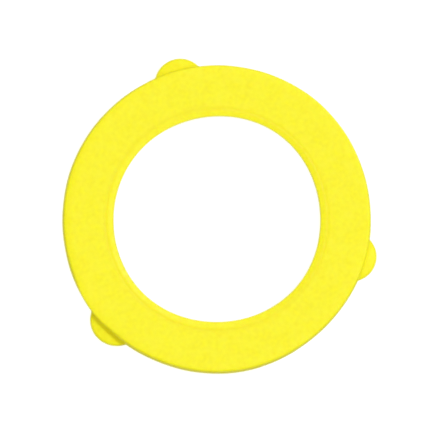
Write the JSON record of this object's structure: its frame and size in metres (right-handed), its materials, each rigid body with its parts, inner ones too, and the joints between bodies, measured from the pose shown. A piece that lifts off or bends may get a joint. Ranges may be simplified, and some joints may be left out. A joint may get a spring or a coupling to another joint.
{
  "type": "hose washer",
  "caption": "Flat round sealing washer with a wide bore, lightly rounded edges and thin round ears on its rim that hold it inside a threaded hose coupling.",
  "frame": {"origin": "centre of the bore, half-way between the two faces", "axes": "+Z along the bore's axis, out of either face; +Y through the middle of one ear"},
  "size_m": [0.024, 0.0249, 0.003],
  "materials": {
    "washer_rubber": "matte, fine moulded grain, opaque yellow"
  },
  "bodies": {
    "root": {"washer": "washer_rubber"}
  },
  "joints": []
}
